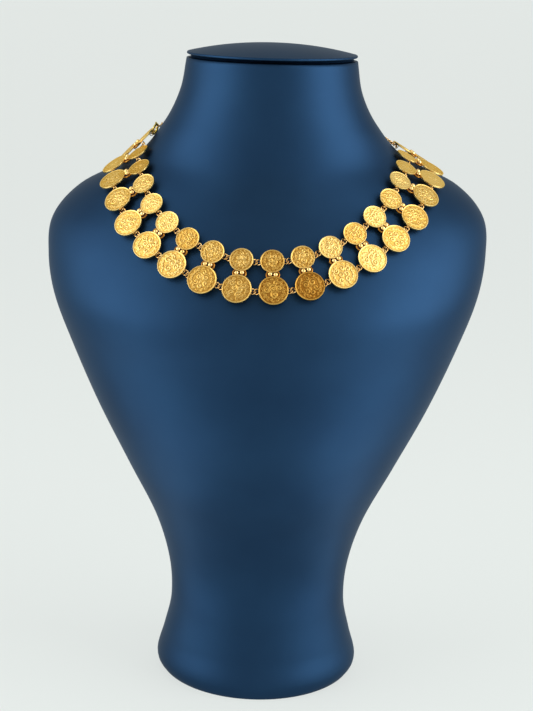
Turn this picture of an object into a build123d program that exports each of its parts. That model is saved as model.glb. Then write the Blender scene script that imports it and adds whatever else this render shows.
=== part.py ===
from build123d import *
import os
from math import atan2, cos, degrees, hypot, radians, sin, sqrt, tan

# A two-row coin necklace laid on the plain neck bust that displays it.
# Millimetres. The bust stands on the floor, Z = 0, faces -Y, and +X is the right as seen from the front.

# Neck bust
bust_height = 370.0
chest_width = 256.0
chest_reach = 104.0
back_reach = 58.0
section_shift = 10.0
section_steps = 2
cap_width = 97.0
cap_depth = 93.0
cap_rim = 1.5
cap_rise = 5.5
cap_recess = 2.0
cap_neck_width = 84.0
seat_gap = 0.2

# Coins
inner_coin_diameter = 13.0
outer_coin_diameter = 16.0
inner_coin_thickness = 1.0
outer_coin_thickness = 1.15
rim_width = 0.7
relief_height = 0.22
edge_round = 0.12
coin_gap = 2.15
pair_count = 19

# Wire, granules and links
granule_diameter = 2.6
granule_spacing = 3.0
bridge_length = 7.9
bridge_width = 5.5
bridge_wire = 1.1
eyelet_diameter = 2.9
eyelet_wire = 0.4
eyelet_inset = 0.95
link_length = 3.78
link_width = 3.5
link_wire = 0.6
link_overlap = 1.0
link_roll = 22.0
link_drop = 1.15

# Clasp
bolt_ring_diameter = 7.4
bolt_ring_wire = 1.3
bolt_lever_length = 1.2
bolt_lever_diameter = 1.0
end_ring_length = 4.6
end_ring_width = 4.0
bolt_overlap = 1.55

# How the necklace lies on the bust
skin_gap = 0.3
chain_lift = 1.45
clasp_lift = 2.3
clasp_reach = 30.0
outer_slack = 0.4
turn_slack = 15.0
front_angle = 1.4
front_turn = 2.0

# Sections of the bust: height as a share of bust_height, half width of chest_width / 2,
# front depth of chest_reach, back depth of back_reach, the widest line's place in y as a share
# of section_shift, and the tilt of the section in degrees, right side up.
BUST_SECTIONS = [
    # height, half_width, front, back, shift, tilt
    (0.000, 0.462, 0.567, 0.85, 0.20, 0.0),
    (0.008, 0.478, 0.579, 0.87, 0.20, 0.0),
    (0.022, 0.479, 0.575, 0.87, 0.10, 0.0),
    (0.060, 0.449, 0.526, 0.84, -0.10, 0.0),
    (0.120, 0.414, 0.484, 0.80, -0.40, 0.0),
    (0.190, 0.426, 0.487, 0.79, -0.50, 0.0),
    (0.270, 0.494, 0.600, 0.80, -0.40, 0.0),
    (0.365, 0.630, 0.768, 0.84, -0.30, 0.0),
    (0.460, 0.773, 0.925, 0.90, 0.20, 0.0),
    (0.555, 0.895, 0.985, 0.95, 0.55, 0.3),
    (0.635, 0.975, 0.985, 0.98, 0.45, 0.8),
    (0.700, 1.000, 0.863, 1.00, 0.40, 1.2),
    (0.755, 0.985, 0.792, 0.94, 1.05, 1.3),
    (0.802, 0.862, 0.733, 0.84, 1.65, 1.3),
    (0.845, 0.622, 0.630, 0.77, 1.35, 1.2),
    (0.900, 0.481, 0.498, 0.83, 0.40, 0.6),
    (0.950, 0.408, 0.460, 0.80, 0.15, 0.0),
    (1.000, 0.380, 0.440, 0.79, -0.05, 0.0),
]

BUST_COLUMNS = list(zip(*BUST_SECTIONS))

# Route of the inner row round the bust: angle from the front in degrees, to the right,
# and height as a share of bust_height. Chosen by hand; it closes behind the neck.
NECKLACE_ROUTE = [
    (-180, 0.906),
    (-150, 0.906),
    (-120, 0.898),
    (-90, 0.876),
    (-65, 0.843),
    (-45, 0.821),
    (-32, 0.789),
    (-20, 0.751),
    (-10, 0.729),
    (0, 0.723),
    (10, 0.730),
    (20, 0.752),
    (32, 0.788),
    (45, 0.817),
    (65, 0.837),
    (90, 0.855),
    (120, 0.882),
    (150, 0.902),
]

pair_reach = inner_coin_diameter / 2 + coin_gap + outer_coin_diameter / 2
link_span = 2 * (link_length - link_wire) - link_overlap
link_depth = (link_width - link_wire) / 2 * sin(radians(link_roll)) + link_wire / 2
eyelet_depth = link_drop + eyelet_diameter / 2


def curve_value(places, values, place):
    """A smooth curve through the values: a cubic between neighbours, with the slopes of their chords."""
    row = 1
    while row < len(places) - 1 and place > places[row]:
        row += 1

    def slope(index):
        low = max(index - 1, 0)
        high = min(index + 1, len(places) - 1)
        return (values[high] - values[low]) / (places[high] - places[low])

    width = places[row] - places[row - 1]
    t = (place - places[row - 1]) / width
    return (
        values[row - 1] * (2 * t**3 - 3 * t**2 + 1)
        + slope(row - 1) * width * (t**3 - 2 * t**2 + t)
        + values[row] * (3 * t**2 - 2 * t**3)
        + slope(row) * width * (t**3 - t**2)
    )


def bust_section(share):
    """Half width, front depth, back depth, shift and tilt of the bust at a share of its height."""
    scales = (chest_width / 2, chest_reach, back_reach, section_shift, 1.0)
    share = min(max(share, 0.0), 1.0)
    heights, *columns = BUST_COLUMNS
    return [
        scale * curve_value(heights, column, share) for scale, column in zip(scales, columns)
    ]


def skin_point(angle, share):
    """The point of the bust's skin at an angle from the front and a share of the height."""
    half_width, front, back, shift, tilt = bust_section(share)
    depth = front if cos(radians(angle)) > 0 else back
    x = half_width * sin(radians(angle))
    y = shift - depth * cos(radians(angle))
    return Vector(x, y, share * bust_height + x * tan(radians(tilt)))


def skin_slopes(angle, share):
    """How the skin runs: the vector for one degree of angle and the one for the whole height."""
    step_angle = 0.5
    step_share = 0.002
    round_it = skin_point(angle + step_angle, share) - skin_point(angle - step_angle, share)
    up_it = skin_point(angle, share + step_share) - skin_point(angle, share - step_share)
    return round_it * (0.5 / step_angle), up_it * (0.5 / step_share)


def skin_normal(angle, share):
    round_it, up_it = skin_slopes(angle, share)
    return round_it.cross(up_it).normalized()


def skin_distance(point):
    """How far a point stands off the skin, to first order."""

    def reach(p):
        share = p.Z / bust_height
        for _ in range(2):
            tilt = bust_section(share)[4]
            share = (p.Z - p.X * tan(radians(tilt))) / bust_height
        half_width, front, back, shift, _ = bust_section(share)
        depth = front if p.Y < shift else back
        return hypot(p.X / half_width, (p.Y - shift) / depth) - 1

    step = 0.05
    here = reach(point)
    slope = Vector(
        reach(point + Vector(step, 0, 0)) - here,
        reach(point + Vector(0, step, 0)) - here,
        reach(point + Vector(0, 0, step)) - here,
    )
    return here * step / slope.length


def route_share(angle):
    """Height of the inner row's route at an angle, as a share; the route closes on itself."""
    angles, shares = zip(*NECKLACE_ROUTE)
    laps = [a - 360 for a in angles] + list(angles) + [a + 360 for a in angles]
    return curve_value(laps, shares * 3, angle)


def slide_down(angle, share, across, distance):
    """Walks over the skin, square to a direction, and gives the angle and share it comes to."""
    steps = 6
    for _ in range(steps):
        round_it, up_it = skin_slopes(angle, share)
        way = across.cross(round_it.cross(up_it)).normalized() * (distance / steps)
        rr, ru, uu = round_it.dot(round_it), round_it.dot(up_it), up_it.dot(up_it)
        wr, wu = way.dot(round_it), way.dot(up_it)
        spread = rr * uu - ru * ru
        angle += (wr * uu - wu * ru) / spread
        share += (wu * rr - wr * ru) / spread
    return angle, share


def pair_plane(angle, turn):
    """Where a coin pair lies: x along the row, y up to the neck, z out of the bust.

    The turn is the pair's own, in degrees, from a level line round the bust.
    """
    share = route_share(angle)
    level = skin_slopes(angle, share)[0]
    along = level.rotate(Axis((0, 0, 0), skin_normal(angle, share)), turn).normalized()
    top = skin_point(angle, share)
    low_angle, low_share = slide_down(angle, share, along, pair_reach)
    mid_angle, mid_share = slide_down(angle, share, along, pair_reach / 2)
    up = (top - skin_point(low_angle, low_share)).normalized()
    side = up.cross(skin_normal(mid_angle, mid_share)).normalized()
    plane = Plane(origin=top, x_dir=side, z_dir=side.cross(up))
    feet = [
        (0, inner_coin_diameter / 2, 0),
        (0, -pair_reach - outer_coin_diameter / 2, 0),
        (0, -inner_coin_diameter / 2 - coin_gap / 2, -bridge_wire * 0.8),
    ]
    for radius, y in ((inner_coin_diameter / 2, 0), (outer_coin_diameter / 2, -pair_reach)):
        for hand in (-1, 1):
            feet.append((hand * (radius - eyelet_inset), y, -eyelet_depth))
            feet.append((hand * (radius + link_length / 2), y, -link_drop - link_depth))
    for _ in range(2):
        low = min(skin_distance(plane.from_local_coords(foot)) for foot in feet)
        plane = plane.offset(skin_gap - low)
    return plane


def eyelet_place(plane, hand, outer):
    """Centre of a pair's eyelet on its left (-1) or right (1) side, in the inner or outer row."""
    radius = (outer_coin_diameter if outer else inner_coin_diameter) / 2
    return plane.from_local_coords(
        (hand * (radius - eyelet_inset), -pair_reach if outer else 0, -link_drop)
    )


def route_turn(angle):
    """How far the route turns from a level line round the bust, in degrees."""
    ahead = skin_point(angle + 1, route_share(angle + 1))
    behind = skin_point(angle - 1, route_share(angle - 1))
    share = route_share(angle)
    level = skin_slopes(angle, share)[0].normalized()
    up = skin_normal(angle, share).cross(level)
    return degrees(atan2((ahead - behind).dot(up), (ahead - behind).dot(level)))


def next_pair(plane, angle, turn, hand):
    """The neighbour of a pair, where links of one length span the inner row.

    A little slack in the outer row's links lets the pair turn towards square with the route.
    """
    inner_here = eyelet_place(plane, hand, False)
    outer_here = eyelet_place(plane, hand, True)
    per_degree = skin_slopes(angle, route_share(angle))[0].length
    step = hand * (inner_coin_diameter - 2 * eyelet_inset + link_span) / per_degree
    for _ in range(12):
        other = pair_plane(angle + step, turn)
        inner_gap = (eyelet_place(other, -hand, False) - inner_here).length
        outer_gap = (eyelet_place(other, -hand, True) - outer_here).length
        step += hand * (link_span - inner_gap) / per_degree
        lean = hand * (route_turn(angle + step) - turn) / turn_slack
        slack = outer_slack * max(-1.0, min(1.0, lean))
        turn += hand * degrees((link_span + slack - outer_gap) / pair_reach) * 0.6
    return other, angle + step, turn


def place_pairs():
    """The pairs' planes and angles from left to right, set out from the one at the front."""
    front = pair_plane(front_angle, front_turn)
    pairs = [(front, front_angle)]
    for hand in (-1, 1):
        plane, angle, turn = front, front_angle, front_turn
        for _ in range(pair_count // 2):
            plane, angle, turn = next_pair(plane, angle, turn, hand)
            pairs.insert(0 if hand < 0 else len(pairs), (plane, angle))
    return pairs


def bust_form():
    """The neck form, lofted through its sections."""
    shares = [row[0] for row in BUST_SECTIONS]
    between = [
        low + (high - low) * step / section_steps
        for low, high in zip(shares[2:-1], shares[3:])
        for step in range(1, section_steps)
    ]
    faces = []
    for share in sorted(shares + between):
        half_width, front, back, shift, tilt = bust_section(share)
        wide = half_width / cos(radians(tilt))
        plane = Plane(
            origin=(0, shift, share * bust_height),
            x_dir=(cos(radians(tilt)), 0, sin(radians(tilt))),
            z_dir=(-sin(radians(tilt)), 0, cos(radians(tilt))),
        )
        fore = EllipticalCenterArc((0, 0), wide, front, start_angle=180, arc_size=180)
        aft = EllipticalCenterArc((0, 0), wide, back, start_angle=0, arc_size=180)
        faces.append(plane * make_face([fore, aft]))
    return loft(faces)


def neck_cap():
    """The domed cap: a rim over a drawn-in neck, which leaves a shadow line under the rim."""
    half = cap_width / 2
    neck = cap_neck_width / 2
    dome = ThreePointArc((half, cap_rim), (half * 0.62, cap_rim + cap_rise * 0.64), (0, cap_rim + cap_rise))
    outline = [
        Line((0, cap_rim + cap_rise), (0, -cap_recess + seat_gap)),
        Line((0, -cap_recess + seat_gap), (neck, -cap_recess + seat_gap)),
        Line((neck, -cap_recess + seat_gap), (neck, 0)),
        Line((neck, 0), (half, 0)),
        Line((half, 0), (half, cap_rim)),
        dome,
    ]
    cap = revolve(Plane.XZ * make_face(outline), Axis.Z)
    shift = bust_section(1.0)[3]
    cap = scale(cap, by=(1, cap_depth / cap_width, 1))
    return Pos(0, shift, bust_height + cap_recess) * cap


def leaf(length, width):
    """A pointed leaf along x, between two arcs."""
    upper = ThreePointArc((0, 0), (length / 2, width / 2), (length, 0))
    lower = ThreePointArc((length, 0), (length / 2, -width / 2), (0, 0))
    return make_face([upper, lower])


def leaf_ring(count, radius, length, width, lean=0.0):
    """Leaves round a centre, each leaning from its radius by the same angle."""
    return [spot * Rot(0, 0, lean) * leaf(length, width) for spot in PolarLocations(radius, count)]


def bead_ring(count, radius, size):
    return [spot * Circle(size / 2) for spot in PolarLocations(radius, count)]


def wreath(radius, count, length, width):
    """Two rows of leaves that rise from the foot of the coin and stay open at its head."""
    leaves = []
    for hand in (-1, 1):
        for index in range(count):
            turn = -90 + hand * (18 + index * 135 / count)
            lean = hand * 68
            leaves.append(Rot(0, 0, turn) * Pos(radius, 0) * Rot(0, 0, lean) * leaf(length, width))
    return leaves


def rosette_device(scale_by):
    petals = leaf_ring(8, 0.5 * scale_by, 2.2 * scale_by, 1.0 * scale_by)
    return petals + bead_ring(12, 4.1 * scale_by, 0.7 * scale_by)


def wreath_device(scale_by):
    centre = leaf_ring(5, 0.4 * scale_by, 1.6 * scale_by, 0.9 * scale_by)
    return centre + wreath(3.5 * scale_by, 6, 1.9 * scale_by, 0.8 * scale_by)


def star_device(scale_by):
    rays = leaf_ring(8, 0.7 * scale_by, 2.4 * scale_by, 0.7 * scale_by)
    return rays + leaf_ring(12, 3.8 * scale_by, 1.3 * scale_by, 0.6 * scale_by, 60)


def coin(diameter, thickness, device):
    """A struck coin, its back on z = 0: a raised rim round a field with its low relief."""
    radius = diameter / 2
    field = thickness - relief_height
    corner = edge_round * (1 - sqrt(0.5))
    outline = [
        Line((0, 0), (radius - edge_round, 0)),
        ThreePointArc((radius - edge_round, 0), (radius - corner, corner), (radius, edge_round)),
        Line((radius, edge_round), (radius, thickness - edge_round)),
        ThreePointArc(
            (radius, thickness - edge_round),
            (radius - corner, thickness - corner),
            (radius - edge_round, thickness),
        ),
        Line((radius - edge_round, thickness), (radius - rim_width, thickness)),
        Line((radius - rim_width, thickness), (radius - rim_width - relief_height / 2, field)),
        Line((radius - rim_width - relief_height / 2, field), (0, field)),
        Line((0, field), (0, 0)),
    ]
    blank = revolve(Plane.XZ * make_face(outline), Axis.Z)
    sunk = relief_height / 2
    relief = [
        extrude(Pos(0, 0, field - sunk) * shape, amount=sunk + relief_height * 0.8)
        for shape in device(diameter / inner_coin_diameter)
    ]
    return blank.fuse(*relief)


def wire_loop(length, width, wire):
    """A loop of round wire in the xy plane, lying along x, with half-round ends."""
    bend = (width - wire) / 2
    straight = (length - width) / 2
    route = [
        Line((-straight, -bend), (straight, -bend)),
        ThreePointArc((straight, -bend), (straight + bend, 0), (straight, bend)),
        Line((straight, bend), (-straight, bend)),
        ThreePointArc((-straight, bend), (-straight - bend, 0), (-straight, -bend)),
    ]
    section = Plane(origin=(-straight, -bend, 0), x_dir=(0, 1, 0), z_dir=(1, 0, 0)) * Circle(wire / 2)
    return sweep(section, path=Wire(route))


def coin_pair(device, granule_tilt):
    """An inner and an outer coin, soldered over a wire bridge with two granules between them."""
    inner = coin(inner_coin_diameter, inner_coin_thickness, device)
    outer = Pos(0, -pair_reach) * coin(outer_coin_diameter, outer_coin_thickness, device)
    middle = Pos(0, -(inner_coin_diameter + coin_gap) / 2)
    bridge = middle * Pos(0, 0, -bridge_wire * 0.3) * wire_loop(bridge_length, bridge_width, bridge_wire)
    granule_height = inner_coin_thickness * 0.75
    granules = [
        middle * Rot(0, 0, granule_tilt) * Pos(hand * granule_spacing / 2, 0, granule_height)
        * Sphere(granule_diameter / 2)
        for hand in (-1, 1)
    ]
    eyelet = Rot(90, 0, 0) * Torus((eyelet_diameter - eyelet_wire) / 2, eyelet_wire / 2)
    eyelets = [
        Pos(hand * (diameter / 2 - eyelet_inset), y, -link_drop) * eyelet
        for diameter, y in ((inner_coin_diameter, 0), (outer_coin_diameter, -pair_reach))
        for hand in (-1, 1)
    ]
    return inner.fuse(outer, bridge, *granules, *eyelets)


def ring_on(rear, front, normal, width, wire, roll):
    """A wire loop whose end bars lie at two points, rolled about its length from the skin."""
    along = front - rear
    direction = along.normalized()
    upright = normal - direction * normal.dot(direction)
    plane = Plane(origin=(rear + front) * 0.5, x_dir=direction, z_dir=upright)
    return plane * Rot(roll, 0, 0) * wire_loop(along.length + wire, max(width, wire), wire)


def row_links(pairs, outer):
    """Two interlocked links in each gap of a row, hooked into the eyelets on both sides."""
    links = []
    for (left, _), (right, _) in zip(pairs, pairs[1:]):
        rear = eyelet_place(left, 1, outer)
        front = eyelet_place(right, -1, outer)
        span = front - rear
        bars = span.normalized() * ((span.length + link_overlap) / 2)
        normal = left.z_dir + right.z_dir
        links.append(ring_on(rear, rear + bars, normal, link_width, link_wire, link_roll))
        links.append(ring_on(front - bars, front, normal, link_width, link_wire, -link_roll))
    return links


def back_route(pairs):
    """The way round the back of the neck from the last pair to the first: points and normals."""
    start, end = pairs[-1][1], pairs[0][1] + 360
    per_degree = skin_slopes(180, route_share(180))[0].length
    margin = 0.75 * inner_coin_diameter / per_degree
    points = [(eyelet_place(pairs[-1][0], 1, False), pairs[-1][0].z_dir)]
    steps = int((end - start) / 2)
    for step in range(1, steps):
        angle = start + margin + (end - start - 2 * margin) * step / steps
        share = route_share(angle - 360 if angle > 180 else angle)
        nearness = max(0.0, 1 - (end - angle) / clasp_reach)
        lift = chain_lift + (clasp_lift - chain_lift) * min(1.0, 2 * nearness)
        normal = skin_normal(angle, share)
        points.append((skin_point(angle, share) + normal * lift, normal))
    points.append((eyelet_place(pairs[0][0], -1, False), pairs[0][0].z_dir))
    return points


def point_along(route, distance):
    """The point and normal that lie a distance along a route."""
    for (here, normal), (there, next_normal) in zip(route, route[1:]):
        length = (there - here).length
        if distance <= length or there is route[-1][0]:
            part = distance / length
            return here + (there - here) * part, normal * (1 - part) + next_normal * part
        distance -= length


def back_rings(pairs):
    """The rings of the back chain and the clasp, in order from the last pair to the first."""
    route = back_route(pairs)
    total = sum((b[0] - a[0]).length for a, b in zip(route, route[1:]))
    bolt_reach = bolt_ring_diameter - bolt_ring_wire
    end_reach = end_ring_length - link_wire
    clasp = 2 * end_reach + bolt_reach - 2 * bolt_overlap - link_overlap
    link_reach = link_length - link_wire
    count = round((total - clasp - link_overlap) / (link_reach - link_overlap) / 2) * 2
    pitch = (total - clasp - link_overlap) / count
    bars = [(step * pitch, step * pitch + pitch + link_overlap) for step in range(count)]
    first = bars[-1][1] - link_overlap
    bolt = first + end_reach - bolt_overlap
    second = bolt + bolt_reach - bolt_overlap
    bars += [(first, first + end_reach), (bolt, bolt + bolt_reach), (second, second + end_reach)]
    places = []
    for rear_at, front_at in bars:
        rear, rear_normal = point_along(route, rear_at)
        front, front_normal = point_along(route, min(front_at, total))
        places.append((rear, front, rear_normal + front_normal))
    return places


def back_chain(places):
    """The plain chain behind the neck, of the same links as the rows."""
    return [
        ring_on(*place, link_width, link_wire, link_roll if index % 2 else -link_roll)
        for index, place in enumerate(places)
    ]


def bolt_ring(place):
    """The clasp: a tube ring with the small lever that opens it."""
    rear, front, normal = place
    along = front - rear
    plane = Plane(
        origin=(rear + front) * 0.5,
        x_dir=along,
        z_dir=normal - along * (normal.dot(along) / along.dot(along)),
    )
    ring = Torus((bolt_ring_diameter - bolt_ring_wire) / 2, bolt_ring_wire / 2)
    reach = bolt_ring_diameter / 2 - bolt_ring_wire / 2
    lever = Pos(0, reach, 0) * Rot(-90, 0, 0) * Cylinder(
        bolt_lever_diameter / 2,
        bolt_lever_length + bolt_ring_wire / 2,
        align=(Align.CENTER, Align.CENTER, Align.MIN),
    )
    return plane * Rot(link_roll, 0, 0) * ring.fuse(lever)


def end_rings(places):
    """The two jump rings, one on each side of the bolt ring."""
    return [ring_on(*place, end_ring_width, link_wire, -link_roll) for place in places]


def save(name, shape):
    export_step(shape, f"parts/{name}.step")


def main():
    os.makedirs("parts", exist_ok=True)
    save("bust_form", bust_form())
    save("neck_cap", neck_cap())
    kinds = [
        coin_pair(wreath_device, -7.0),
        coin_pair(rosette_device, 4.0),
        coin_pair(star_device, 9.0),
    ]
    pairs = place_pairs()
    for index, (plane, _) in enumerate(pairs):
        save(f"coin_pair_{index + 1:02d}", plane * kinds[index % len(kinds)])
    save("inner_links", Compound(row_links(pairs, False)))
    save("outer_links", Compound(row_links(pairs, True)))
    rings = back_rings(pairs)
    save("back_chain", Compound(back_chain(rings[:-3])))
    save("bolt_ring", bolt_ring(rings[-2]))
    save("end_rings", Compound(end_rings([rings[-3], rings[-1]])))


main()
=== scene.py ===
import math

import bpy
import numpy as np
from mathutils import Matrix, Vector


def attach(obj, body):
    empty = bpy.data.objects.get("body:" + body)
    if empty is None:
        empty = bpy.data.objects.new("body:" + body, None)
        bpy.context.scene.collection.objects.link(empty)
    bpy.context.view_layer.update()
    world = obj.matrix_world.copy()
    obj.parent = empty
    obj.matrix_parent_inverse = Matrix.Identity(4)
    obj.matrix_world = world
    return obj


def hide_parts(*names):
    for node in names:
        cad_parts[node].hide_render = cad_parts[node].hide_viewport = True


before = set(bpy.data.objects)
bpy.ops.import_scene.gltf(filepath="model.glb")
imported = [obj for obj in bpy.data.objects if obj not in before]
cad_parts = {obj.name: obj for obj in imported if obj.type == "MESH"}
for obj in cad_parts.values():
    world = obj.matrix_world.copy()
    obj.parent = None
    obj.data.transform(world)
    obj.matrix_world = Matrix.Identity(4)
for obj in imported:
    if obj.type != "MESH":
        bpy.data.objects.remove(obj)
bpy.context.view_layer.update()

# A two-row coin collar on its neck bust. Sizes are in millimetres, as in the part's source, and
# meshes are written in metres. +X is the right as seen from the front, -Y the front, +Z up.
MM = 0.001

# Neck bust: widths and depths of its sections are shares of these sizes.
bust_height = 370.0
chest_width = 256.0
chest_reach = 104.0
back_reach = 58.0
section_shift = 10.0
cap_width = 97.0
cap_depth = 93.0
cap_rim = 1.5
cap_rise = 5.5
cap_recess = 2.0
# The collar under the cap's rim. It is set back more in front, where it makes the dark line.
cap_collar_width = 92.5
cap_collar_depth = 80.6
cap_seat_gap = 0.2

# Coins, wire, granules and links.
inner_coin_diameter = 13.0
outer_coin_diameter = 16.0
inner_coin_thickness = 1.0
outer_coin_thickness = 1.15
worn_rim_width = 0.44
relief_height = 0.22
scroll_pitch = 1.3
edge_round = 0.12
coin_gap = 2.15
pair_count = 19
granule_diameter = 2.6
granule_spacing = 3.0
bridge_length = 7.9
bridge_width = 5.5
bridge_wire = 1.1
eyelet_diameter = 2.9
eyelet_wire = 0.4
eyelet_inset = 0.95
link_width = 3.5
link_wire = 0.6
link_drop = 1.15
link_twist = 38.0
pair_reach = inner_coin_diameter / 2 + coin_gap + outer_coin_diameter / 2

# What is struck on a coin: beads and leaves round its border. Their heights are shares of
# relief_height.
border_beads = 60
bead_size = 0.5
bead_inset = 0.32
bead_height = 0.4
border_leaves = 15
border_height = 0.65
wreath_height = 0.8
vein_width = 0.09
vein_depth = 0.35

# A coin's shade on its flat field, what the relief adds, and what a hollow takes away.
# The darkening in the hollows is partly patina and partly painted shade.
field_shade = 0.74
relief_shade = 0.16
hollow_shade = 1.1

# How finely the forms are drawn: points round them, and rows or steps along them.
bust_columns = 216
bust_rows = 200
cap_columns = 180
coin_columns = 144
coin_rows = 38
granule_columns = 24
granule_rows = 15
bridge_steps = 56
bridge_sides = 12
eyelet_steps = 24
link_steps = 26
wire_sides = 8

# Sections of the bust: height as a share of bust_height, half width of chest_width / 2, front
# depth of chest_reach, back depth of back_reach, shift of section_shift, and tilt in degrees.
BUST_SECTIONS = np.array([
    (0.000, 0.462, 0.567, 0.85, 0.20, 0.0),
    (0.008, 0.478, 0.579, 0.87, 0.20, 0.0),
    (0.022, 0.479, 0.575, 0.87, 0.10, 0.0),
    (0.060, 0.449, 0.526, 0.84, -0.10, 0.0),
    (0.120, 0.414, 0.484, 0.80, -0.40, 0.0),
    (0.190, 0.426, 0.487, 0.79, -0.50, 0.0),
    (0.270, 0.494, 0.600, 0.80, -0.40, 0.0),
    (0.365, 0.630, 0.768, 0.84, -0.30, 0.0),
    (0.460, 0.773, 0.925, 0.90, 0.20, 0.0),
    (0.555, 0.895, 0.985, 0.95, 0.55, 0.3),
    (0.635, 0.975, 0.985, 0.98, 0.45, 0.8),
    (0.700, 1.000, 0.863, 1.00, 0.40, 1.2),
    (0.755, 0.985, 0.792, 0.94, 1.05, 1.3),
    (0.802, 0.862, 0.733, 0.84, 1.65, 1.3),
    (0.845, 0.622, 0.630, 0.77, 1.35, 1.2),
    (0.900, 0.481, 0.498, 0.83, 0.40, 0.6),
    (0.950, 0.408, 0.460, 0.80, 0.15, 0.0),
    (1.000, 0.380, 0.440, 0.79, -0.05, 0.0),
])

# A point inside the chest, under the necklace: the necklace's outward side faces away from it.
CHEST_CENTRE = np.array([0.0, 0.0, 0.62 * bust_height])

# The three kinds of pair, by how far their granules lean from level, in degrees.
GRANULE_TILTS = (-7.0, 4.0, 9.0)


# Colours and nodes.

def linear(code):
    """An sRGB hex colour as linear red, green and blue, with full alpha."""
    parts = [int(code[k:k + 2], 16) / 255 for k in (0, 2, 4)]
    return [c / 12.92 if c <= 0.04045 else ((c + 0.055) / 1.055) ** 2.4 for c in parts] + [1.0]


def add(tree, kind, settings=None, links=None):
    """Adds a node, sets its properties, its ramp stops and its sockets, and links its inputs."""
    node = tree.nodes.new(kind)
    for name, value in (settings or {}).items():
        if name == "ramp":
            stops = node.color_ramp.elements
            for index, (place, code) in enumerate(value):
                stop = stops[index] if index < len(stops) else stops.new(place)
                stop.position = place
                stop.color = linear(code)
        elif isinstance(name, str) and hasattr(node, name):
            setattr(node, name, value)
        else:
            node.inputs[name].default_value = value
    for name, source in (links or {}).items():
        tree.links.new(source, node.inputs[name])
    return node


def per_mm(size):
    """The texture scale that gives a pattern of this size in millimetres on Object coordinates."""
    return 1 / (size * MM)


def new_material(name, settings):
    """A material with a Principled shader, whose uniform values are set on its own sockets."""
    material = bpy.data.materials.new(name)
    material.use_nodes = True
    tree = material.node_tree
    tree.nodes.clear()
    shader = add(tree, "ShaderNodeBsdfPrincipled", settings)
    add(tree, "ShaderNodeOutputMaterial", links={"Surface": shader.outputs[0]})
    place = add(tree, "ShaderNodeTexCoord").outputs["Object"]
    return material, tree, shader, place


# Meshes.

def weave_faces(rows, columns, round_rows=False):
    """Quads between the points of a grid whose columns go all round, and its rows where asked.

    They face the way of row step x column step.
    """
    row = np.arange(rows if round_rows else rows - 1)
    row, column = np.meshgrid(row, np.arange(columns), indexing="ij")
    next_row = (row + 1) % rows
    next_column = (column + 1) % columns
    corners = (
        row * columns + column,
        next_row * columns + column,
        next_row * columns + next_column,
        row * columns + next_column,
    )
    return np.stack(corners, -1).reshape(-1, 4)


def turned_shape(points, material=0, relief=None):
    """A closed form from a grid (rows, columns, 3), round in its columns.

    Its first and last rows are each closed by a fan to the middle of their own points.
    """
    rows, columns, _ = points.shape
    quads = weave_faces(rows, columns)
    flat = points.reshape(-1, 3)
    first, last = len(flat), len(flat) + 1
    ring = np.arange(columns)
    turned = (ring + 1) % columns
    top = np.stack([np.full(columns, first), ring, turned], -1)
    end = (rows - 1) * columns
    foot = np.stack([np.full(columns, last), end + turned, end + ring], -1)
    flat = np.concatenate([flat, points[0].mean(0)[None], points[-1].mean(0)[None]])
    # Each point's relief value is the shade painted into a coin's colour, darker in its hollows as
    # patina and painted shade; other forms keep full brightness.
    if relief is None:
        patina_and_painted_shade = np.ones(len(flat))
    else:
        patina_and_painted_shade = np.concatenate([relief.ravel(), [relief[0].mean(), relief[-1].mean()]])
    return {
        "points": flat, "quads": quads, "tris": np.concatenate([top, foot]),
        "relief": patina_and_painted_shade, "material": material,
    }


def ring_shape(points, material=0):
    """A closed ring from a grid (rows along the ring, columns round its wire, 3)."""
    rows, columns, _ = points.shape
    return {
        "points": points.reshape(-1, 3), "quads": weave_faces(rows, columns, round_rows=True),
        "tris": np.empty((0, 3), int), "relief": np.ones(rows * columns), "material": material,
    }


def wire_round(path, radius, sides):
    """A round wire's surface along a closed path: path point plus radius times a turning normal.

    The normals turn round the path from the way that faces out of the ring's middle, square to it.
    """
    ahead = np.roll(path, -1, 0) - np.roll(path, 1, 0)
    ahead /= np.linalg.norm(ahead, axis=1, keepdims=True)
    out = path - path.mean(0)
    out -= (out * ahead).sum(1, keepdims=True) * ahead
    out /= np.linalg.norm(out, axis=1, keepdims=True)
    side = np.cross(ahead, out)
    turn = np.linspace(0, 2 * np.pi, sides, endpoint=False)[None, :, None]
    return path[:, None] + radius * (out[:, None] * np.cos(turn) - side[:, None] * np.sin(turn))


def join(shapes):
    """One shape from several: their points in a row, and their faces counted on."""
    start = 0
    quads, tris, quad_material, tri_material = [], [], [], []
    for shape in shapes:
        quads.append(shape["quads"] + start)
        tris.append(shape["tris"] + start)
        quad_material.append(np.full(len(shape["quads"]), shape["material"]))
        tri_material.append(np.full(len(shape["tris"]), shape["material"]))
        start += len(shape["points"])
    return {
        "points": np.concatenate([shape["points"] for shape in shapes]),
        "quads": np.concatenate(quads), "tris": np.concatenate(tris),
        "face_material": np.concatenate(quad_material + tri_material),
        "relief": np.concatenate([shape["relief"] for shape in shapes]),
        "tone": np.concatenate([np.full(len(s["points"]), s.get("tone", 0.0)) for s in shapes]),
    }


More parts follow.
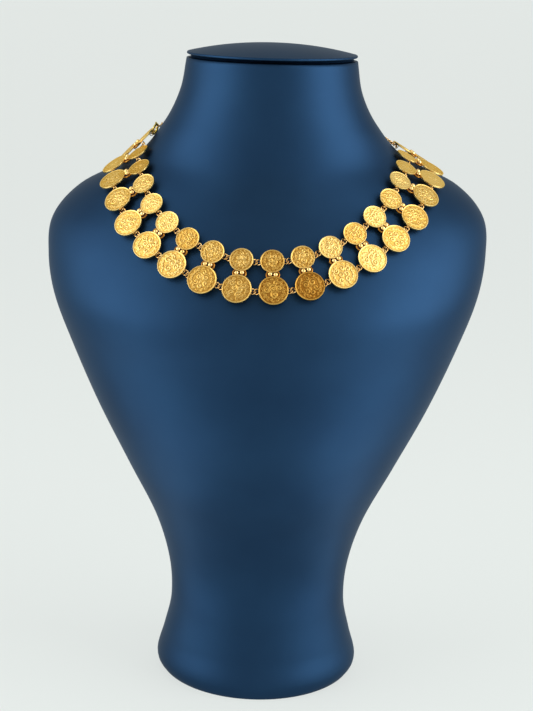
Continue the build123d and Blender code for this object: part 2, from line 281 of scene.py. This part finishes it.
def make_piece(name, shapes, materials, nodes):
    """Writes shapes, in millimetres, to one smooth mesh object that rides the frame."""
    whole = join(shapes)
    mesh = bpy.data.meshes.new(name)
    mesh.vertices.add(len(whole["points"]))
    mesh.vertices.foreach_set("co", (whole["points"] * MM).astype(np.float32).ravel())
    quads, tris = whole["quads"], whole["tris"]
    corners = np.concatenate([quads.ravel(), tris.ravel()]).astype(np.int32)
    starts = np.concatenate([np.arange(len(quads)) * 4, len(quads) * 4 + np.arange(len(tris)) * 3])
    mesh.loops.add(len(corners))
    mesh.loops.foreach_set("vertex_index", corners)
    mesh.polygons.add(len(starts))
    mesh.polygons.foreach_set("loop_start", starts.astype(np.int32))
    mesh.polygons.foreach_set("material_index", whole["face_material"].astype(np.int32))
    mesh.polygons.foreach_set("use_smooth", np.ones(len(starts), bool))
    # relief carries the coins' painted shade, darker in their hollows; tone is each coin's own
    # brightness.
    for label in ("relief", "tone"):
        values = mesh.attributes.new(label, "FLOAT", "POINT")
        values.data.foreach_set("value", whole[label].astype(np.float32))
    mesh.update(calc_edges=True)
    mesh.validate()
    for material in materials:
        mesh.materials.append(material)
    piece = bpy.data.objects.new(name, mesh)
    bpy.context.scene.collection.objects.link(piece)
    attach(piece, "root")
    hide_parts(*nodes)


# Reading places from the frame's own nodes.

def node_mesh(node):
    """Points in millimetres and triangles of a CAD node, with its doubled points merged."""
    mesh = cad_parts[node].data
    points = np.empty(len(mesh.vertices) * 3, np.float32)
    mesh.vertices.foreach_get("co", points)
    mesh.calc_loop_triangles()
    triangles = np.empty(len(mesh.loop_triangles) * 3, np.int32)
    mesh.loop_triangles.foreach_get("vertices", triangles)
    points = points.reshape(-1, 3).astype(float) / MM
    keys = np.round(points / 0.001).astype(np.int64)
    _, first, place = np.unique(keys, axis=0, return_index=True, return_inverse=True)
    return points[first], place.ravel()[triangles].reshape(-1, 3)


def loose_parts(node):
    """The separate solids of a node, each as its points: labels spread over shared triangles."""
    points, triangles = node_mesh(node)
    labels = np.arange(len(points))
    while True:
        lowest = labels[triangles].min(1)
        spread = labels.copy()
        np.minimum.at(spread, triangles.ravel(), np.repeat(lowest, 3))
        spread = spread[spread]
        if (spread == labels).all():
            break
        labels = spread
    return [points[labels == label] for label in np.unique(labels)]


def unit(vector):
    return vector / np.linalg.norm(vector)


def pair_frame(node):
    """A coin pair's place: origin at the inner coin's back, x along the row, y up, z outwards.

    z is the coins' common flat side, y runs from the outer coin's middle to the inner one's, and
    the origin lies one inner radius below the highest point.
    """
    points, triangles = node_mesh(node)
    corners = points[triangles]
    cross = np.cross(corners[:, 1] - corners[:, 0], corners[:, 2] - corners[:, 0])
    area = np.linalg.norm(cross, axis=1)
    cross, corners, area = cross[area > 0], corners[area > 0], area[area > 0]
    normals = cross / area[:, None]
    z = np.linalg.eigh((normals * area[:, None]).T @ normals)[1][:, -1]
    if z @ (points.mean(0) - CHEST_CENTRE) < 0:
        z = -z
    backs = normals @ z < -0.999
    z = -unit(cross[backs].sum(0))
    middles, weights = corners[backs].mean(1), area[backs]
    height = np.average(middles @ z, weights=weights)
    centred = middles - np.average(middles, axis=0, weights=weights)
    y = np.linalg.eigh((centred * weights[:, None]).T @ centred)[1][:, -1]
    along = centred @ y
    high = along > (along.max() + along.min()) / 2
    for _ in range(8):
        means = [np.average(along[side], weights=weights[side]) for side in (high, ~high)]
        high = along > sum(means) / 2
    sides = [high, ~high]
    if weights[high].sum() > weights[~high].sum():
        sides.reverse()
    inner, outer = [np.average(middles[side], axis=0, weights=weights[side]) for side in sides]
    y = inner - outer
    y = unit(y - (y @ z) * z)
    x = np.cross(y, z)
    top = (points @ y).max() - inner_coin_diameter / 2
    origin = (inner @ x) * x + top * y + height * z
    return origin, np.stack([x, y, z])


def placed(shape, origin, axes):
    """A shape moved from a pair's own axes to the frame."""
    moved = dict(shape)
    moved["points"] = origin + shape["points"] @ axes
    return moved


# The neck bust and its cap.

def through(at, places, values):
    """A smooth curve through chosen values: cubics that start and end with their chords' slopes."""
    slopes = np.empty_like(values)
    slopes[1:-1] = (values[2:] - values[:-2]) / (places[2:] - places[:-2])
    slopes[0] = (values[1] - values[0]) / (places[1] - places[0])
    slopes[-1] = (values[-1] - values[-2]) / (places[-1] - places[-2])
    row = np.clip(np.searchsorted(places, at), 1, len(places) - 1)
    width = places[row] - places[row - 1]
    t = (at - places[row - 1]) / width
    return (
        values[row - 1] * (2 * t**3 - 3 * t**2 + 1)
        + slopes[row - 1] * width * (t**3 - 2 * t**2 + t)
        + values[row] * (3 * t**2 - 2 * t**3)
        + slopes[row] * width * (t**3 - t**2)
    )


def bust_surface(shares, angles):
    """Points of the bust's skin: at each height, a half ellipse in front and another behind.

    x is half width times sine of the angle, y the shift less the depth times its cosine, and a
    tilted section rises by its tangent times x.
    """
    heights = BUST_SECTIONS[:, 0]
    scales = (chest_width / 2, chest_reach, back_reach, section_shift, 1.0)
    half, front, back, shift, tilt = [
        scale * through(shares, heights, BUST_SECTIONS[:, column + 1])[:, None]
        for column, scale in enumerate(scales)
    ]
    depth = np.where(np.cos(angles) > 0, front, back)
    x = half * np.sin(angles)
    y = shift - depth * np.cos(angles)
    z = shares[:, None] * bust_height + x * np.tan(np.radians(tilt))
    return np.stack([x, y, z], -1)


def bust_shape():
    """The bust's skin from the neck's top to the foot, closed above and below by flat rings.

    Its rows lie closer at the foot, where the skin curves in.
    """
    angles = np.linspace(0, 2 * np.pi, bust_columns, endpoint=False)[None, :]
    foot = np.array([0.0, 0.001, 0.0025, 0.005, 0.008, 0.012, 0.017, 0.022])
    shares = np.concatenate([foot, np.linspace(0.03, 1.0, bust_rows)])
    skin = bust_surface(shares[::-1], angles)
    lid_rings = (0.02, 0.5, 0.97)
    lids = []
    for ring, inner in ((skin[0], lid_rings), (skin[-1], lid_rings[::-1])):
        middle = ring.mean(0)
        lids.append(np.stack([middle + (ring - middle) * share for share in inner]))
    return turned_shape(np.concatenate([lids[0], skin, lids[1]]))


def cap_shape():
    """The cap: a profile of radius and height turned round, and squeezed a little in depth.

    The dome falls from its middle with a power of the radius, the rim is half a circle, and the
    collar under it is squeezed more.
    """
    half, collar = cap_width / 2, cap_collar_width / 2
    lip = cap_rim / 2
    seat = -cap_recess + cap_seat_gap
    dome_power = 2.1
    roll = np.linspace(0, np.pi, 9)
    spread = np.linspace(0.004, 1.0, 40)
    dome = np.stack([spread * (half - lip), cap_rim + cap_rise * (1 - spread**dome_power)], -1)
    edge = np.stack([half - lip + lip * np.sin(roll), lip + lip * np.cos(roll)], -1)
    under = np.array([(collar + 0.8, 0.0), (collar, -0.4), (collar, -cap_recess + 0.6)])
    foot = np.array([(collar - 0.4, seat), (0.5, seat)])
    profile = np.concatenate([dome[:-1], edge, under, foot])
    turn = np.linspace(0, 2 * np.pi, cap_columns, endpoint=False)
    radius, height = profile[:, :1], profile[:, 1:]
    shift = section_shift * BUST_SECTIONS[-1, 4]
    squeeze = np.where(height < 0, cap_collar_depth / cap_collar_width, cap_depth / cap_width)
    x = radius * np.cos(turn)
    y = shift + radius * np.sin(turn) * squeeze
    z = bust_height + cap_recess + height + 0 * x
    return turned_shape(np.stack([x, y, z], -1))


# Coins, their bridges and granules.

def leaf_relief(x, y, angle, radius, length, width, lean):
    """Height of one pointed leaf: it falls from its mid line to its two arcs, with a thin vein."""
    foot_x, foot_y = radius * np.cos(angle), radius * np.sin(angle)
    way = angle + lean
    along = ((x - foot_x) * np.cos(way) + (y - foot_y) * np.sin(way)) / length
    across = -(x - foot_x) * np.sin(way) + (y - foot_y) * np.cos(way)
    breadth = width / 2 * np.clip(1 - (2 * along - 1) ** 2, 0, 1)
    inside = np.clip(1 - np.abs(across) / np.maximum(breadth, 1e-6), 0, 1)
    vein = 1 - vein_depth * np.exp(-(across / vein_width) ** 2)
    return np.sqrt(inside) * vein * (breadth > 0.02)


def leaf_rings(x, y, leaves):
    """The highest of many leaves at each point."""
    height = np.zeros_like(x)
    for leaf in leaves:
        height = np.maximum(height, leaf_relief(x, y, *leaf))
    return height


def round_leaves(count, radius, length, width, lean, start=0.0):
    """Leaves at even steps round a circle, leaning by degrees from its radius."""
    turns = start + np.arange(count) * 2 * np.pi / count
    return [(turn, radius, length, width, math.radians(lean)) for turn in turns]


def wreath_leaves(radius, count, length, width):
    """Two branches that rise from the coin's foot and stay open at its head; angles in degrees.

    Each step of a branch has a leaf along it and a smaller one that stands out of it.
    """
    first, sweep = 18, 135
    leaves = []
    for hand in (-1, 1):
        for index in range(count):
            turn = math.radians(-90 + hand * (first + index * sweep / count))
            leaves.append((turn, radius, length, width, math.radians(hand * 68)))
            leaves.append((turn, radius, length * 0.8, width * 0.8, math.radians(hand * 20)))
    return leaves


def bead_ring(x, y, count, radius, size):
    """Round beads at even steps round a circle."""
    turn = np.arctan2(y, x) * count / (2 * np.pi)
    off_turn = (turn - np.round(turn)) * 2 * np.pi * radius / count
    off_radius = np.hypot(x, y) - radius
    return np.sqrt(np.clip(1 - (off_turn**2 + off_radius**2) / (size / 2) ** 2, 0, 1))


def scroll(x, y, across, up, size, hand, start):
    """A leafy scroll: a rounded ridge along a spiral, whose radius grows evenly with its turn.

    Places are millimetres on the smaller coin. The ridge fades at the scroll's outer size, and a
    sine of the turn notches it like small leaves.
    """
    radius = np.hypot(x - across, y - up)
    turn = hand * np.arctan2(y - up, x - across)
    arm = radius / scroll_pitch - turn / (2 * np.pi) + start
    off = np.abs(arm - np.round(arm)) * scroll_pitch
    ridge = np.clip(1 - (off / (0.4 * scroll_pitch)) ** 2, 0, 1)
    notch = 1 - 0.3 * np.sin(7 * turn + 3 * radius) ** 2
    return ridge * notch * np.clip((size - radius) / 0.3, 0, 1)


def scroll_group(x, y, scrolls):
    """The highest of several scrolls at each point."""
    return np.max([scroll(x, y, *place) for place in scrolls], axis=0)


def struck_device(kind, x, y):
    """The relief of a coin's face, from 0 at its field to 1 at its rim, on the smaller coin's size.

    It is the highest of scrolls, an open wreath, and a border of leaves that lean both ways. Slow
    waves bend the whole of it, as a die cut by hand is uneven. A scroll is its place across and up,
    its size, its hand and where its spiral starts.
    """
    x, y = x + 0.1 * np.sin(1.3 * y + kind), y + 0.1 * np.sin(1.5 * x + 2 * kind)
    if kind == 0:
        inside = scroll_group(x, y, [
            (-1.2, 0.1, 1.6, 1, 0.1), (1.3, 0.2, 1.6, -1, 0.1),
            (-2.5, 2.1, 1.5, -1, 0.4), (2.6, 2.0, 1.5, 1, 0.4), (0.0, 3.0, 1.4, 1, 0.2),
            (-1.5, -2.4, 1.5, 1, 0.7), (1.6, -2.3, 1.5, -1, 0.7),
        ])
        leaves = leaf_rings(x, y, wreath_leaves(3.9, 7, 1.6, 0.85))
    elif kind == 1:
        inside = scroll_group(x, y, [
            (0.1, 1.1, 2.0, 1, 0.2), (-2.6, 0.6, 1.6, -1, 0.5), (2.6, 0.4, 1.6, 1, 0.5),
            (-1.4, 3.1, 1.3, 1, 0.9), (1.5, 3.0, 1.3, -1, 0.9), (0.0, -2.0, 1.9, -1, 0.3),
        ])
        leaves = leaf_rings(x, y, wreath_leaves(3.8, 6, 1.8, 0.95))
    else:
        inside = scroll_group(x, y, [
            (-1.6, 1.3, 1.7, 1, 0.0), (1.6, 1.4, 1.7, -1, 0.5), (0.0, 3.4, 1.2, 1, 0.4),
            (-2.2, -1.5, 1.5, -1, 0.3), (2.3, -1.4, 1.5, 1, 0.8), (0.1, -3.0, 1.3, -1, 0.6),
        ])
        inside = np.maximum(inside, leaf_rings(x, y, round_leaves(3, 0.2, 2.0, 0.9, 20)))
        leaves = leaf_rings(x, y, wreath_leaves(4.1, 8, 1.4, 0.8))
    rows = round_leaves(border_leaves, 4.75, 1.0, 0.62, 35, kind)
    rows += round_leaves(border_leaves, 4.8, 0.9, 0.58, -25, kind + 0.2)
    border = leaf_rings(x, y, rows)
    return np.maximum(np.maximum(inside, wreath_height * leaves), border_height * border)


def hollows(relief):
    """How far each place lies below its neighbours: the mean of eight of them, less itself."""
    rows = [np.concatenate([relief[:1]] * step + [relief[:-step]]) for step in (2, 4)]
    rows += [np.concatenate([relief[step:]] + [relief[-1:]] * step) for step in (2, 4)]
    turned = [np.roll(relief, step, 1) for step in (-4, -2, 2, 4)]
    return np.clip(np.mean(rows + turned, axis=0) - relief, 0, 1)


def coin_shape(diameter, thickness, kind, lean, wear, waves):
    """A struck coin as one closed form of rings: its relief, rounded edge and plain back.

    Height of the face is the field, plus the relief height times the device, border beads and
    rim, plus a slow wave that stands for the blows and bends of use. The device leans by its own
    angle. Its colour is painted darker in the hollows beside the relief, partly patina and partly
    painted shade.
    """
    radius = diameter / 2
    k = diameter / inner_coin_diameter
    field = thickness - relief_height
    turn = np.linspace(0, 2 * np.pi, round(coin_columns * k), endpoint=False)
    face = np.linspace(0.02, radius - edge_round, round(coin_rows * k))
    bend = np.linspace(0, np.pi / 2, 4)
    rim_r = np.concatenate([
        radius - edge_round + edge_round * np.sin(bend[1:]),
        radius - edge_round + edge_round * np.cos(bend),
    ])
    rim_z = np.concatenate([
        thickness - edge_round + edge_round * np.cos(bend[1:]),
        edge_round - edge_round * np.sin(bend),
    ])
    back = np.array([radius * 0.8, radius * 0.3, 0.05])
    r = np.concatenate([face, rim_r, back])[:, None]
    x, y = r * np.cos(turn), r * np.sin(turn)
    z = np.concatenate([np.full(len(face), field), rim_z, np.zeros(len(back))])[:, None] + 0 * x
    rim_start = radius - worn_rim_width
    fx, fy, fr = x[:len(face)], y[:len(face)], r[:len(face)] + 0 * x[:len(face)]
    cosine, sine = math.cos(lean) / k, math.sin(lean) / k
    device = struck_device(kind, fx * cosine + fy * sine, fy * cosine - fx * sine)
    beads = bead_height * bead_ring(fx, fy, border_beads, rim_start - bead_inset, bead_size)
    rim = np.clip((fr - rim_start + 0.14) / 0.18, 0, 1)
    rim *= 1 - 0.3 * ((fr - rim_start) / worn_rim_width) ** 2
    relief = np.maximum(np.maximum(device, beads) * (1 - wear), rim)
    slow = sum(a * np.sin(fx * u / k + fy * v / k + p) for a, u, v, p in waves)
    z[:len(face)] += relief_height * relief + slow * (1 - (fr / radius) ** 4)
    shade = np.ones_like(z)
    # The coin's shade is painted into its colour: darker in the hollows beside the relief, partly
    # patina and partly painted shade, and a little lighter where the relief is high.
    shade[:len(face)] = field_shade + relief_shade * relief - hollow_shade * hollows(relief)
    return turned_shape(np.stack([x, y, z], -1), 0, shade)


def oval_path(length, width, count):
    """An oval with half-round ends: the points of a circle, parted along x by the straight runs."""
    bend, straight = width / 2, (length - width) / 2
    turn = np.linspace(0, 2 * np.pi, count, endpoint=False)
    x = bend * np.cos(turn) + straight * np.clip(3 * np.cos(turn), -1, 1)
    return np.stack([x, bend * np.sin(turn), 0 * turn], -1)


def granule_shape(place):
    """A soldered ball: a sphere, flattened a little at its poles by wear."""
    pole = 0.06
    level = np.linspace(pole, np.pi - pole, granule_rows)[:, None]
    turn = np.linspace(0, 2 * np.pi, granule_columns, endpoint=False)
    radius = granule_diameter / 2
    x = radius * np.sin(level) * np.cos(turn)
    y = radius * np.sin(level) * np.sin(turn)
    z = radius * np.cos(level) + 0 * x
    return turned_shape(place + np.stack([x, y, z], -1), 1)


def pair_shapes(index, rng):
    """A coin pair in its own axes: two coins, the bridge, two granules and four eyelets."""
    kind = index % len(GRANULE_TILTS)
    tilt = math.radians(GRANULE_TILTS[kind])
    shapes = []
    for outer in (False, True):
        diameter = outer_coin_diameter if outer else inner_coin_diameter
        thickness = outer_coin_thickness if outer else inner_coin_thickness
        # Two waves of wear: how high, how fast across and up, and where they start.
        waves = [
            (rng.uniform(0.012, 0.03), *rng.uniform(-0.45, 0.45, 2), rng.uniform(0, 6)),
            (rng.uniform(0.004, 0.010), *rng.uniform(-1.1, 1.1, 2), rng.uniform(0, 6)),
        ]
        lean, wear = rng.uniform(-0.35, 0.35), rng.uniform(0.0, 0.25)
        device = (kind + outer) % len(GRANULE_TILTS)
        coin = coin_shape(diameter, thickness, device, lean, wear, waves)
        coin["points"] = coin["points"] + np.array([0, -pair_reach if outer else 0, 0])
        coin["tone"] = COIN_TONES.get((index + 1, outer), 0.0) + rng.uniform(-0.12, 0.12)
        shapes.append(coin)
    middle = -(inner_coin_diameter + coin_gap) / 2
    loop = oval_path(bridge_length - bridge_wire, bridge_width - bridge_wire, bridge_steps)
    loop += np.array([0, middle, -bridge_wire * 0.3])
    # The bridge takes the third gold, darkened as painted shade.
    shapes.append(ring_shape(wire_round(loop, bridge_wire / 2, bridge_sides), 2))
    for hand in (-1, 1):
        off = hand * granule_spacing / 2
        height = inner_coin_thickness * 0.75
        place = np.array([off * math.cos(tilt), middle + off * math.sin(tilt), height])
        shapes.append(granule_shape(place))
        for diameter, y in ((inner_coin_diameter, 0), (outer_coin_diameter, -pair_reach)):
            size = eyelet_diameter - eyelet_wire
            eyelet = oval_path(size, size, eyelet_steps)[:, [0, 2, 1]]
            eyelet += np.array([hand * (diameter / 2 - eyelet_inset), y, -link_drop])
            shapes.append(ring_shape(wire_round(eyelet, eyelet_wire / 2, wire_sides), 1))
    return shapes


# Links.

def curb_link(centre, along, outward, length):
    """A twisted link: an oval of wire whose sides turn about its length from end to end."""
    path = oval_path(length - link_wire, link_width - link_wire, link_steps)
    reach = (length - link_wire) / 2
    twist = -math.radians(link_twist) * path[:, 0] / reach
    path[:, 2] = path[:, 1] * np.sin(twist)
    path[:, 1] = path[:, 1] * np.cos(twist)
    across = np.cross(outward, along)
    world = centre + path @ np.stack([along, across, outward])
    return ring_shape(wire_round(world, link_wire / 2, wire_sides))


def link_places(node, chained):
    """Each link's middle, direction, outward side and length, in order round the neck.

    A link points to the next one of its gap, or in a chain along its neighbours, and its outward
    side is the mean of its own flat side and its neighbour's, which lean opposite ways.
    """
    parts = loose_parts(node)
    middles = np.array([(part.max(0) + part.min(0)) / 2 for part in parts])
    turn = np.arctan2(middles[:, 0], -middles[:, 1])
    if chained:
        turn = np.mod(turn, 2 * np.pi)
    order = np.argsort(turn)
    parts = [parts[k] for k in order]
    middles = middles[order]
    flats = []
    for part, middle in zip(parts, middles):
        flat = np.linalg.svd(part - part.mean(0), full_matrices=False)[2][-1]
        flats.append(flat if flat @ (middle - CHEST_CENTRE) > 0 else -flat)
    count = len(parts)
    places = []
    for k in range(count):
        if chained:
            low, high = max(k - 1, 0), min(k + 1, count - 1)
            mate = k + 1 if k < count - 1 else k - 1
        else:
            low, high = k - k % 2, k - k % 2 + 1
            mate = k + 1 - 2 * (k % 2)
        along = unit(middles[high] - middles[low])
        outward = flats[k] + flats[mate]
        outward = unit(outward - (outward @ along) * along)
        reach = parts[k] @ along
        places.append((middles[k], along, outward, reach.max() - reach.min()))
    return places


# Materials.

def pearl_leatherette():
    """Leatherette: embossed vinyl on cloth.

    Its blue pearl pigment tints the gloss, so broad lamps show as soft blue bands, and its fine
    grain keeps the edges dull.
    """
    material, tree, shader, place = new_material("pearl_leatherette", {
        "Metallic": 0.98,
        "Specular Tint": linear("D6D8D6"),
    })
    clouds = add(tree, "ShaderNodeTexNoise", {"Scale": per_mm(38), "Detail": 3.0}, {
        "Vector": place,
    })
    colour = add(tree, "ShaderNodeValToRGB", {
        "ramp": [(0.3, "1E3753"), (0.7, "213C59")],
    }, {"Fac": clouds.outputs["Fac"]})
    tree.links.new(colour.outputs["Color"], shader.inputs["Base Color"])
    # Real grain is about 0.4 mm across; it is drawn at 1.1 mm so that it shows.
    grain = add(tree, "ShaderNodeTexVoronoi", {"Scale": per_mm(1.1)}, {"Vector": place})
    fine = add(tree, "ShaderNodeTexNoise", {"Scale": per_mm(0.7), "Detail": 2.0}, {"Vector": place})
    height = add(tree, "ShaderNodeMath", {"operation": "ADD"}, {
        0: grain.outputs["Distance"], 1: fine.outputs["Fac"],
    })
    bump = add(tree, "ShaderNodeBump", {"Strength": 0.25, "Distance": 0.05 * MM}, {
        "Height": height.outputs[0],
    })
    tree.links.new(bump.outputs["Normal"], shader.inputs["Normal"])
    rough = add(tree, "ShaderNodeMapRange", {"To Min": 0.46, "To Max": 0.53}, {
        "Value": clouds.outputs["Fac"],
    })
    tree.links.new(rough.outputs["Result"], shader.inputs["Roughness"])
    return material


def struck_gold():
    """High-carat gold, struck and rubbed with use: warm yellow, bright where it is high.

    It is brown where it is low, partly patina and partly painted shade.
    """
    material, tree, shader, place = new_material("struck_gold", {
        "Metallic": 1.0,
        "Specular Tint": linear("F6DDA6"),
    })
    # The relief attribute is the coin's shade painted into its colour: darker in the hollows,
    # partly patina and partly painted shade.
    relief = add(tree, "ShaderNodeAttribute", {"attribute_name": "relief"})
    tone = add(tree, "ShaderNodeAttribute", {"attribute_name": "tone"})
    stain = add(tree, "ShaderNodeTexNoise", {"Scale": per_mm(4.5), "Detail": 4.0}, {
        "Vector": place,
    })
    patina_and_painted_shade = add(tree, "ShaderNodeMath", {"operation": "MULTIPLY_ADD", 1: 0.3}, {
        0: stain.outputs["Fac"], 2: relief.outputs["Fac"],
    })
    toned = add(tree, "ShaderNodeMath", {"operation": "ADD"}, {
        0: patina_and_painted_shade.outputs[0], 1: tone.outputs["Fac"],
    })
    colour = add(tree, "ShaderNodeValToRGB", {
        "ramp": [(0.15, "5A3A10"), (0.5, "AA7428"), (0.8, "DEB054"), (1.0, "F0CE80")],
    }, {"Fac": toned.outputs[0]})
    tree.links.new(colour.outputs["Color"], shader.inputs["Base Color"])
    scratch = add(tree, "ShaderNodeTexNoise", {"Scale": per_mm(0.5), "Detail": 3.0}, {
        "Vector": place,
    })
    rough = add(tree, "ShaderNodeMapRange", {"To Min": 0.24, "To Max": 0.42}, {
        "Value": scratch.outputs["Fac"],
    })
    tree.links.new(rough.outputs["Result"], shader.inputs["Roughness"])
    bump = add(tree, "ShaderNodeBump", {"Strength": 0.35, "Distance": 0.06 * MM}, {
        "Height": scratch.outputs["Fac"],
    })
    tree.links.new(bump.outputs["Normal"], shader.inputs["Normal"])
    return material


def drawn_gold(name, low, high, smoothest=0.16, roughest=0.30):
    """Drawn gold wire and melted balls: smooth and polished, so they show small bright glints.

    Its colour wanders between two, as handling and solder leave it.
    """
    material, tree, shader, place = new_material(name, {"Metallic": 1.0})
    stain = add(tree, "ShaderNodeTexNoise", {"Scale": per_mm(2.2), "Detail": 3.0}, {
        "Vector": place,
    })
    colour = add(tree, "ShaderNodeValToRGB", {"ramp": [(0.3, low), (0.7, high)]}, {
        "Fac": stain.outputs["Fac"],
    })
    tree.links.new(colour.outputs["Color"], shader.inputs["Base Color"])
    rough = add(tree, "ShaderNodeMapRange", {"To Min": smoothest, "To Max": roughest}, {
        "Value": stain.outputs["Fac"],
    })
    tree.links.new(rough.outputs["Result"], shader.inputs["Roughness"])
    return material


# The pieces.

# How bright a coin's gold is beside its neighbours, by its pair's number and whether it is the
# outer one. It moves the coin's colour along struck_gold's ramp.
COIN_TONES = {
    (1, False): 0.15, (3, False): -0.08, (4, False): 0.08, (5, False): -0.08, (9, False): -0.14,
    (10, False): -0.12, (12, False): 0.06, (15, False): 0.05, (16, False): 0.14, (17, False): 0.18,
    (18, False): 0.12, (19, False): 0.15,
    (1, True): 0.15, (2, True): 0.08, (4, True): 0.10, (5, True): 0.10, (8, True): -0.04,
    (9, True): -0.18, (10, True): -0.14, (11, True): -0.24, (13, True): -0.05, (16, True): 0.12,
    (17, True): 0.16, (18, True): 0.12, (19, True): 0.12,
}

leatherette = pearl_leatherette()
coin_gold = struck_gold()
ball_gold = drawn_gold("soldered_gold", "EABA66", "FCDE9C", 0.08, 0.18)
# The bridge's darker gold is painted shade: the bridge lies back behind the granules.
bridge_gold_painted_shade = drawn_gold("bridge_gold_painted_shade", "8E6026", "B8843C")
link_gold = drawn_gold("link_gold", "ECB86E", "FCD898", 0.12, 0.22)
clasp_gold = drawn_gold("clasp_gold", "C0A844", "DCC468")
ring_gold = drawn_gold("ring_gold", "D8A64C", "EEC472")

make_piece("leather_bust", [bust_shape()], [leatherette], ["bust_form"])
make_piece("leather_cap", [cap_shape()], [leatherette], ["neck_cap"])

wear_seed = 19
rng = np.random.default_rng(wear_seed)
golds = [coin_gold, ball_gold, bridge_gold_painted_shade]
for index in range(pair_count):
    node = f"coin_pair_{index + 1:02d}"
    origin, axes = pair_frame(node)
    shapes = [placed(shape, origin, axes) for shape in pair_shapes(index, rng)]
    make_piece(f"struck_pair_{index + 1:02d}", shapes, golds, [node])

for node, chained in (("inner_links", False), ("outer_links", False), ("back_chain", True)):
    links = [curb_link(*place) for place in link_places(node, chained)]
    make_piece(f"curb_{node}", links, [link_gold], [node])

for node, gold in (("bolt_ring", clasp_gold), ("end_rings", ring_gold)):
    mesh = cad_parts[node].data
    mesh.materials.clear()
    mesh.materials.append(gold)

# The floor: pale card, lit from everywhere, so it keeps nearly the walls' grey.
STUDIO_GREY = "DFE3E1"
card = new_material("pale_floor", {
    "Base Color": linear("6E7371"),
    "Roughness": 0.8,
    "Emission Color": linear(STUDIO_GREY),
    "Emission Strength": 0.80,
})[0]
reach = 40.0
floor_mesh = bpy.data.meshes.new("floor")
floor_mesh.from_pydata(
    [(-reach, -reach, 0), (reach, -reach, 0), (reach, reach, 0), (-reach, reach, 0)],
    [], [(0, 1, 2, 3)],
)
floor_mesh.materials.append(card)
floor = bpy.data.objects.new("floor", floor_mesh)
bpy.context.scene.collection.objects.link(floor)

# The studio's pale walls, with one warm dim place high in front, where the photographer stands.
world = bpy.data.worlds.new("studio")
bpy.context.scene.world = world
world.use_nodes = True
walls = world.node_tree
way = add(walls, "ShaderNodeTexCoord").outputs["Generated"]
front = add(walls, "ShaderNodeVectorMath", {
    "operation": "DOT_PRODUCT", 1: (0.0, -0.62, 0.78),
}, {0: way})
room = add(walls, "ShaderNodeValToRGB", {
    "ramp": [(0.91, STUDIO_GREY), (0.98, "8E6829")],
}, {"Fac": front.outputs["Value"]})
walls.links.new(room.outputs["Color"], walls.nodes["Background"].inputs["Color"])
walls.nodes["Background"].inputs["Strength"].default_value = 1.0


def softbox(name, place, target, size, power):
    """A rectangular lamp that faces a point: places and sizes in metres, power in watts."""
    lamp = bpy.data.lights.new(name, "AREA")
    lamp.shape = "RECTANGLE"
    lamp.size, lamp.size_y = size
    lamp.energy = power
    box = bpy.data.objects.new(name, lamp)
    box.location = place
    box.rotation_mode = "QUATERNION"
    box.rotation_quaternion = (Vector(target) - Vector(place)).to_track_quat("-Z", "Y")
    box.visible_camera = False
    bpy.context.scene.collection.objects.link(box)


softbox("left_softbox", (-0.90, -0.30, 0.49), (0, -0.02, 0.49), (0.9, 0.97), 7.0)
softbox("right_softbox", (0.90, -0.30, 0.49), (0, -0.02, 0.49), (0.9, 0.97), 8.8)
softbox("left_high_softbox", (-0.64, -0.36, 1.14), (0, -0.05, 0.27), (0.7, 0.6), 1.2)
softbox("right_high_softbox", (0.56, -0.50, 1.14), (0, -0.05, 0.27), (0.7, 0.6), 1.7)
softbox("left_table_glow", (-0.32, -0.15, 0.004), (-0.32, -0.149, 1), (0.40, 0.30), 0.48)
softbox("right_table_glow", (0.32, -0.15, 0.004), (0.32, -0.149, 1), (0.40, 0.30), 0.56)

# The lens is the photo's: its focal length is 1560 of the picture's 711 rows. The camera's place is
# in metres, and its two angles in degrees.
picture_rows = 711
focal_rows = 1560
camera_place = (0.00145, -0.900, 0.430)
looks_down = 14.58
leans = 1.62
camera_data = bpy.data.cameras.new("camera")
camera_data.sensor_width = 36.0
camera_data.lens = camera_data.sensor_width * focal_rows / picture_rows
camera_data.clip_end = 200
camera = bpy.data.objects.new("camera", camera_data)
pitch = Matrix.Rotation(math.radians(90 - looks_down), 4, "X")
roll = Matrix.Rotation(math.radians(leans), 4, "Z")
camera.matrix_world = Matrix.Translation(camera_place) @ pitch @ roll
bpy.context.scene.collection.objects.link(camera)
bpy.context.scene.camera = camera
bpy.context.scene.view_settings.view_transform = "Standard"
